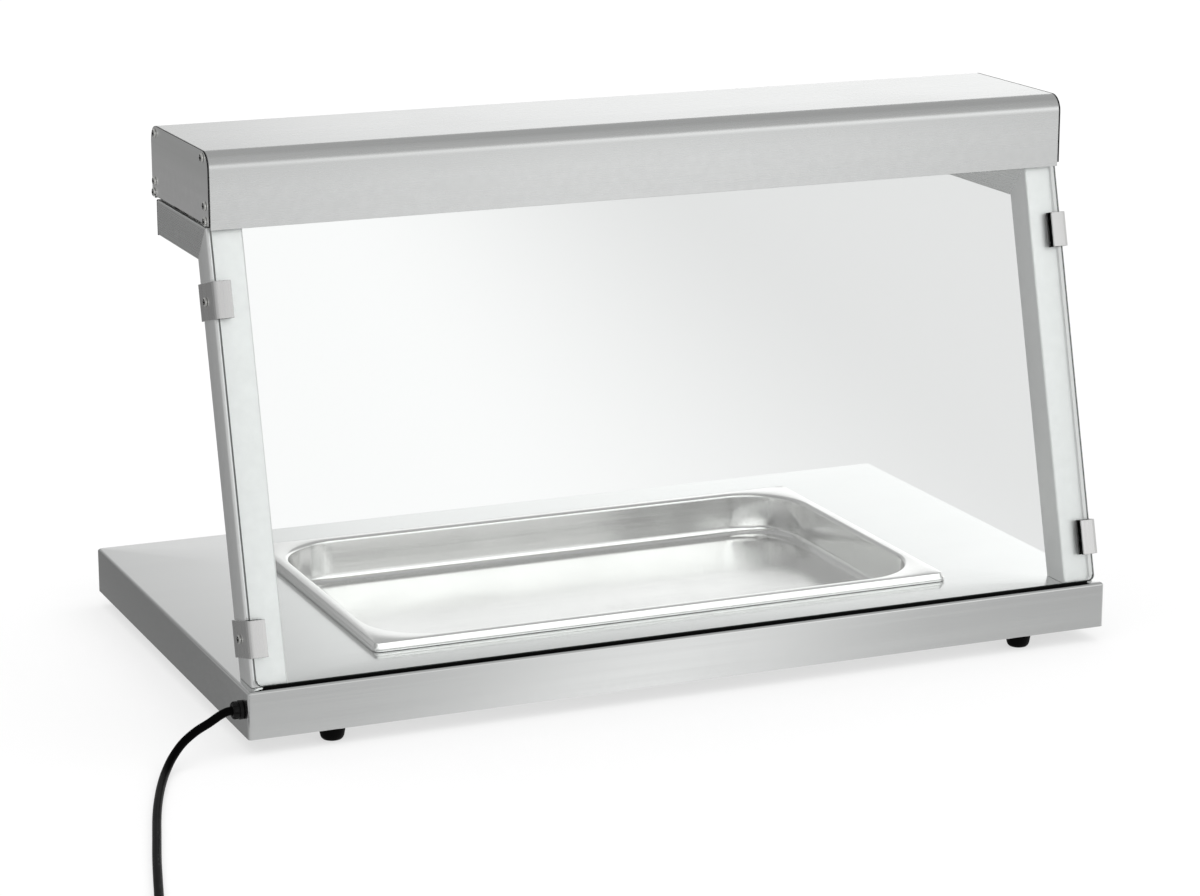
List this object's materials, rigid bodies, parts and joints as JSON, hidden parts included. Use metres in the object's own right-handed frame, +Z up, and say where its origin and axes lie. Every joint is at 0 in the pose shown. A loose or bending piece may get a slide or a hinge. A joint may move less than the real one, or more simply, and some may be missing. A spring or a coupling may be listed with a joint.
{
  "type": "hot food display case",
  "caption": "Countertop hot food display case: a leaning glass screen and a heat-lamp hood on box-tube posts, over a flat base that holds a lift-out food pan.",
  "frame": {"origin": "centre of the footprint, at the level of the feet's soles", "axes": "+X to the right along the long side, +Y towards the operator, +Z up. The glass screen faces -Y."},
  "size_m": [0.9606, 0.9134, 0.4685],
  "materials": {
    "satin_steel": "satin stainless sheet, grain along the length",
    "inner_steel": "dull stainless sheet",
    "bright_steel": "bright stainless",
    "polished_steel": "mirror-polished reflector sheet",
    "guard_wire": "bright wire",
    "clear_glass": "clear flat glass, polished edges",
    "black_rubber": "matt black rubber",
    "black_plastic": "satin black plastic",
    "plug_body": "black moulded plug",
    "red_rocker": "gloss red plastic",
    "white_plastic": "white plastic",
    "lamp_ceramic": "matt ceramic",
    "lamp_quartz": "frosted quartz tube",
    "cord_jacket": "gloss black cord jacket"
  },
  "bodies": {
    "case": {"arm_cap_left": "black_plastic", "arm_cap_right": "black_plastic", "arm_left": "satin_steel", "arm_right": "satin_steel", "base_bottom_plate": "inner_steel", "base_shell": "satin_steel", "clip_lower_left": "bright_steel", "clip_lower_right": "bright_steel", "clip_pad_lower_left": "black_rubber", "clip_pad_lower_right": "black_rubber", "clip_pad_upper_left": "black_rubber", "clip_pad_upper_right": "black_rubber", "clip_screw_lower_left": "bright_steel", "clip_screw_lower_right": "bright_steel", "clip_screw_upper_left": "bright_steel", "clip_screw_upper_right": "bright_steel", "clip_upper_left": "bright_steel", "clip_upper_right": "bright_steel", "cord": "cord_jacket", "cord_coil": "cord_jacket", "cord_gland": "black_plastic", "end_screw_front_low_left": "bright_steel", "end_screw_front_low_right": "bright_steel", "end_screw_front_middle_left": "bright_steel", "end_screw_front_middle_right": "bright_steel", "end_screw_front_top_left": "bright_steel", "end_screw_front_top_right": "bright_steel", "end_screw_rear_low_left": "bright_steel", "end_screw_rear_low_right": "bright_steel", "end_screw_rear_middle_left": "bright_steel", "end_screw_rear_middle_right": "bright_steel", "end_screw_rear_top_left": "bright_steel", "end_screw_rear_top_right": "bright_steel", "foot_front_left": "black_rubber", "foot_front_right": "black_rubber", "foot_rear_left": "black_rubber", "foot_rear_right": "black_rubber", "glass_pane": "clear_glass", "heat_lamp_left": "lamp_quartz", "heat_lamp_right": "lamp_quartz", "hood_cover": "satin_steel", "hood_end_left": "satin_steel", "hood_end_right": "satin_steel", "hood_reflector": "polished_steel", "lamp_guard": "guard_wire", "lamp_holder_left": "lamp_ceramic", "lamp_holder_middle": "lamp_ceramic", "lamp_holder_right": "lamp_ceramic", "lamp_lead": "cord_jacket", "mains_plug": "plug_body", "post_left": "satin_steel", "post_plate_left": "inner_steel", "post_plate_right": "inner_steel", "post_right": "satin_steel", "regulator_body": "black_plastic", "switch_body": "black_plastic", "terminal_block": "white_plastic"},
    "pan": {"food_pan": "bright_steel"},
    "knob": {"regulator_knob": "black_plastic"},
    "rocker": {"switch_rocker": "red_rocker"}
  },
  "joints": [
    {"name": "pan_lift", "type": "slide", "parent": "case", "child": "pan", "axis": [0, 0, 1], "range_m": [0, 0.12]},
    {"name": "regulator_turn", "type": "hinge", "parent": "case", "child": "knob", "pos_m": [0.31, 0.02486, 0.4396], "axis": [0, -1, 0], "range_deg": [0, 270]},
    {"name": "switch_tilt", "type": "hinge", "parent": "case", "child": "rocker", "pos_m": [0.255, 0.02486, 0.4396], "axis": [1, 0, 0], "range_deg": [0, 16]}
  ]
}
